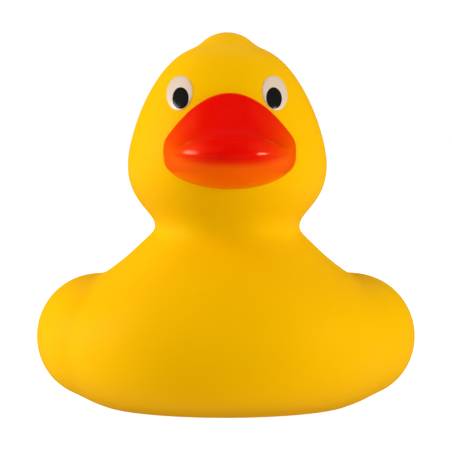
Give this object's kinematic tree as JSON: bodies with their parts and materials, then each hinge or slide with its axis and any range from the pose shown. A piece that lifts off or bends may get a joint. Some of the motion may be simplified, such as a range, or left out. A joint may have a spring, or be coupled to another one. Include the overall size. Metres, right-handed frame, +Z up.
{
  "type": "rubber duck",
  "caption": "Hollow soft-vinyl toy duck that rests on a flat base, with a small squeaker pressed into the base.",
  "frame": {"origin": "middle of the duck's length and width, at the bottom of its flat base", "axes": "+Z up, the duck faces -Y, +X towards its left side; it is symmetric about X = 0"},
  "size_m": [0.0798, 0.0928, 0.0779],
  "materials": {
    "yellow_vinyl": "satin moulded vinyl, golden yellow, with a glossy orange-red bill and white and black eyes painted on",
    "white_plastic": "moulded white plastic",
    "reed_plastic": "thin translucent white strip"
  },
  "bodies": {
    "root": {"duck_body": "yellow_vinyl", "squeaker_housing": "white_plastic", "reed_block": "white_plastic", "reed": "reed_plastic"}
  },
  "joints": []
}
